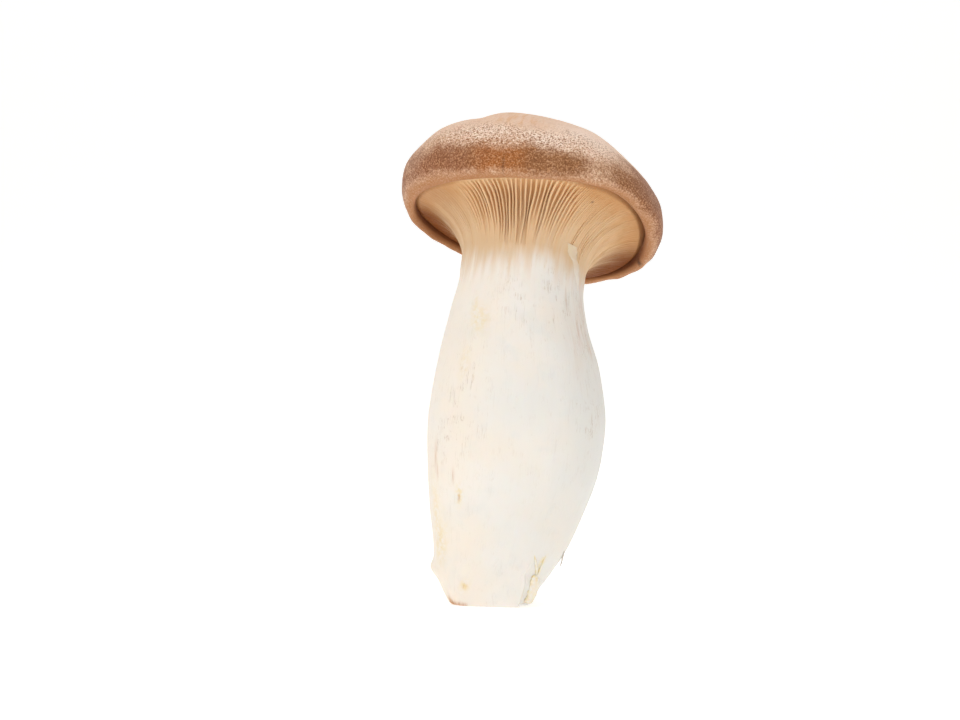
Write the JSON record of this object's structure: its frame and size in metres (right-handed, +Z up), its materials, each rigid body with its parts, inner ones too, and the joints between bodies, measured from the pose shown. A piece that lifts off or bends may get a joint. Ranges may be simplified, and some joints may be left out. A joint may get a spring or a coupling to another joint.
{
  "type": "king oyster mushroom",
  "caption": "King oyster mushroom standing on its cut foot: thick pale tapering stem, small tan cap with inrolled margin and gills running down onto the stem.",
  "frame": {"origin": "middle of the flat cut face of the foot, on the surface that the mushroom stands on", "axes": "+Z up along the stem, +X to the right and +Y to the back when the lit side of the gills faces the viewer"},
  "size_m": [0.075, 0.0718, 0.1368],
  "materials": {
    "mushroom_flesh": "matte, faintly fibrous skin"
  },
  "bodies": {
    "root": {"king_oyster_mushroom": "mushroom_flesh"}
  },
  "joints": []
}
